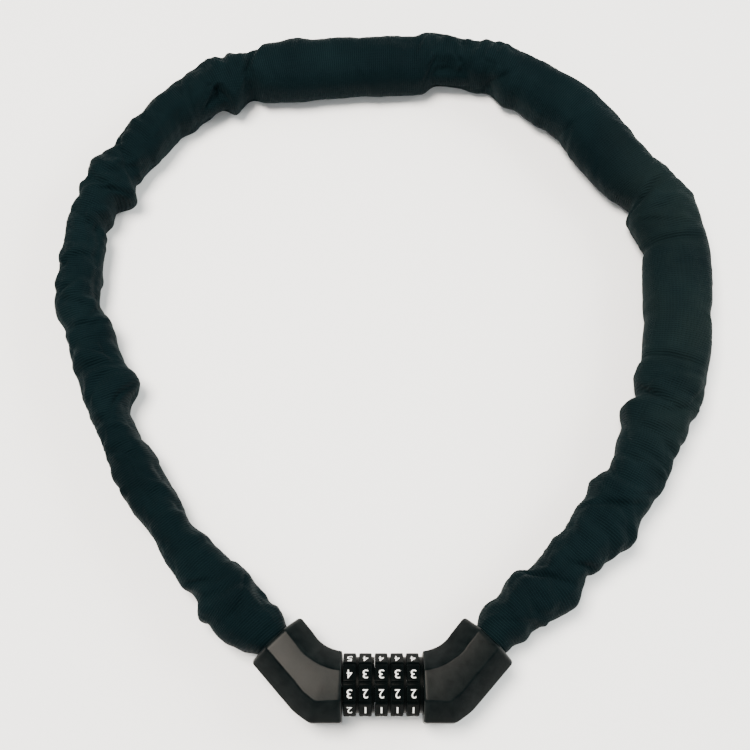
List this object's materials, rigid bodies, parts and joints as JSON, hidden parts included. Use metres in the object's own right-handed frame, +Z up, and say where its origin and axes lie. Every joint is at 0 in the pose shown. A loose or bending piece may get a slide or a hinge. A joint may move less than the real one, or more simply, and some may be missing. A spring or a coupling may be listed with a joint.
{
  "type": "chain lock",
  "caption": "Combination chain lock: square steel links in a woven sleeve, closed by a dial barrel and locking pin between two elbow housings.",
  "frame": {"origin": "on the ground, at the middle of the footprint", "axes": "+X along the lock's axis, from the locking pin's housing to the barrel's housing; +Y from the lock across the loop; +Z up"},
  "size_m": [0.3119, 0.3376, 0.028],
  "materials": {
    "housing_plastic": "satin moulded nylon, near black",
    "dial_plastic": "black moulded plastic with white printed digits",
    "die_cast_zinc": "die-cast zinc alloy, as cast",
    "hardened_steel": "galvanised hardened steel",
    "screw_steel": "plated steel",
    "spring_steel": "polished spring steel",
    "barrel_brass": "turned brass",
    "sleeve_fabric": "tightly woven nylon tube, near black with a blue-green cast"
  },
  "bodies": {
    "barrel_housing": {"barrel_housing_front_shell": "housing_plastic", "barrel_housing_rear_shell": "housing_plastic", "barrel_core": "die_cast_zinc", "barrel_anchor_pin": "hardened_steel", "barrel_shell_screw_1": "screw_steel", "barrel_shell_screw_2": "screw_steel", "barrel_tube": "barrel_brass", "barrel_cross_pin": "screw_steel", "detent_spring": "spring_steel", "clutch_spring": "spring_steel", "nose_clip": "spring_steel"},
    "bolt_housing": {"bolt_housing_front_shell": "housing_plastic", "bolt_housing_rear_shell": "housing_plastic", "bolt_core": "die_cast_zinc", "bolt_anchor_pin": "hardened_steel", "bolt_shell_screw_1": "screw_steel", "bolt_shell_screw_2": "screw_steel", "bolt_cross_pin": "screw_steel", "locking_pin": "hardened_steel"},
    "nose": {"reset_nose": "die_cast_zinc"},
    "dial_1": {"dial_ring_1": "dial_plastic", "code_ring_1": "barrel_brass"},
    "dial_2": {"dial_ring_2": "dial_plastic", "code_ring_2": "barrel_brass"},
    "dial_3": {"dial_ring_3": "dial_plastic", "code_ring_3": "barrel_brass"},
    "dial_4": {"dial_ring_4": "dial_plastic", "code_ring_4": "barrel_brass"},
    "dial_5": {"dial_ring_5": "dial_plastic", "code_ring_5": "barrel_brass"},
    "chain_right": {"chain_link_01": "hardened_steel", "chain_link_02": "hardened_steel", "chain_link_03": "hardened_steel", "chain_link_04": "hardened_steel", "chain_link_05": "hardened_steel", "chain_link_06": "hardened_steel", "chain_link_07": "hardened_steel", "chain_link_08": "hardened_steel", "chain_link_09": "hardened_steel", "chain_link_10": "hardened_steel", "chain_link_11": "hardened_steel", "chain_link_12": "hardened_steel", "chain_link_13": "hardened_steel", "chain_link_14": "hardened_steel", "chain_link_15": "hardened_steel", "fabric_sleeve": "sleeve_fabric"},
    "chain_left": {"chain_link_16": "hardened_steel", "chain_link_17": "hardened_steel", "chain_link_18": "hardened_steel", "chain_link_19": "hardened_steel", "chain_link_20": "hardened_steel", "chain_link_21": "hardened_steel", "chain_link_22": "hardened_steel", "chain_link_23": "hardened_steel", "chain_link_24": "hardened_steel", "chain_link_25": "hardened_steel", "chain_link_26": "hardened_steel", "chain_link_27": "hardened_steel", "chain_link_28": "hardened_steel", "chain_link_29": "hardened_steel"}
  },
  "joints": [
    {"name": "release", "type": "slide", "parent": "barrel_housing", "child": "bolt_housing", "axis": [-1, 0, 0], "range_m": [0, 0.046]},
    {"name": "nose_turn", "type": "hinge", "parent": "barrel_housing", "child": "nose", "pos_m": [-0.019, -0.1531, 0.014], "axis": [1, 0, 0], "range_deg": [0, 90]},
    {"name": "dial_1_turn", "type": "hinge", "parent": "barrel_housing", "child": "dial_1", "pos_m": [-0.0118, -0.1531, 0.014], "axis": [1, 0, 0], "continuous": true},
    {"name": "dial_2_turn", "type": "hinge", "parent": "barrel_housing", "child": "dial_2", "pos_m": [-0.0053, -0.1531, 0.014], "axis": [1, 0, 0], "continuous": true},
    {"name": "dial_3_turn", "type": "hinge", "parent": "barrel_housing", "child": "dial_3", "pos_m": [0.0012, -0.1531, 0.014], "axis": [1, 0, 0], "continuous": true},
    {"name": "dial_4_turn", "type": "hinge", "parent": "barrel_housing", "child": "dial_4", "pos_m": [0.0077, -0.1531, 0.014], "axis": [1, 0, 0], "continuous": true},
    {"name": "dial_5_turn", "type": "hinge", "parent": "barrel_housing", "child": "dial_5", "pos_m": [0.0142, -0.1531, 0.014], "axis": [1, 0, 0], "continuous": true},
    {"name": "chain_right_swing", "type": "hinge", "parent": "barrel_housing", "child": "chain_right", "pos_m": [0.0399, -0.14132, 0.014], "axis": [0, 0, 1], "range_deg": [0, 3.6]},
    {"name": "chain_left_swing", "type": "hinge", "parent": "chain_right", "child": "chain_left", "pos_m": [-0.0149, 0.1543, 0.014], "axis": [0, 0, 1], "range_deg": [-9.3, 0], "deforming": ["fabric_sleeve"]}
  ],
  "couplings": [
    {"joint": "chain_right_swing", "follows": "release", "rad_per_m": 1.2265},
    {"joint": "chain_left_swing", "follows": "release", "rad_per_m": -3.3978}
  ]
}
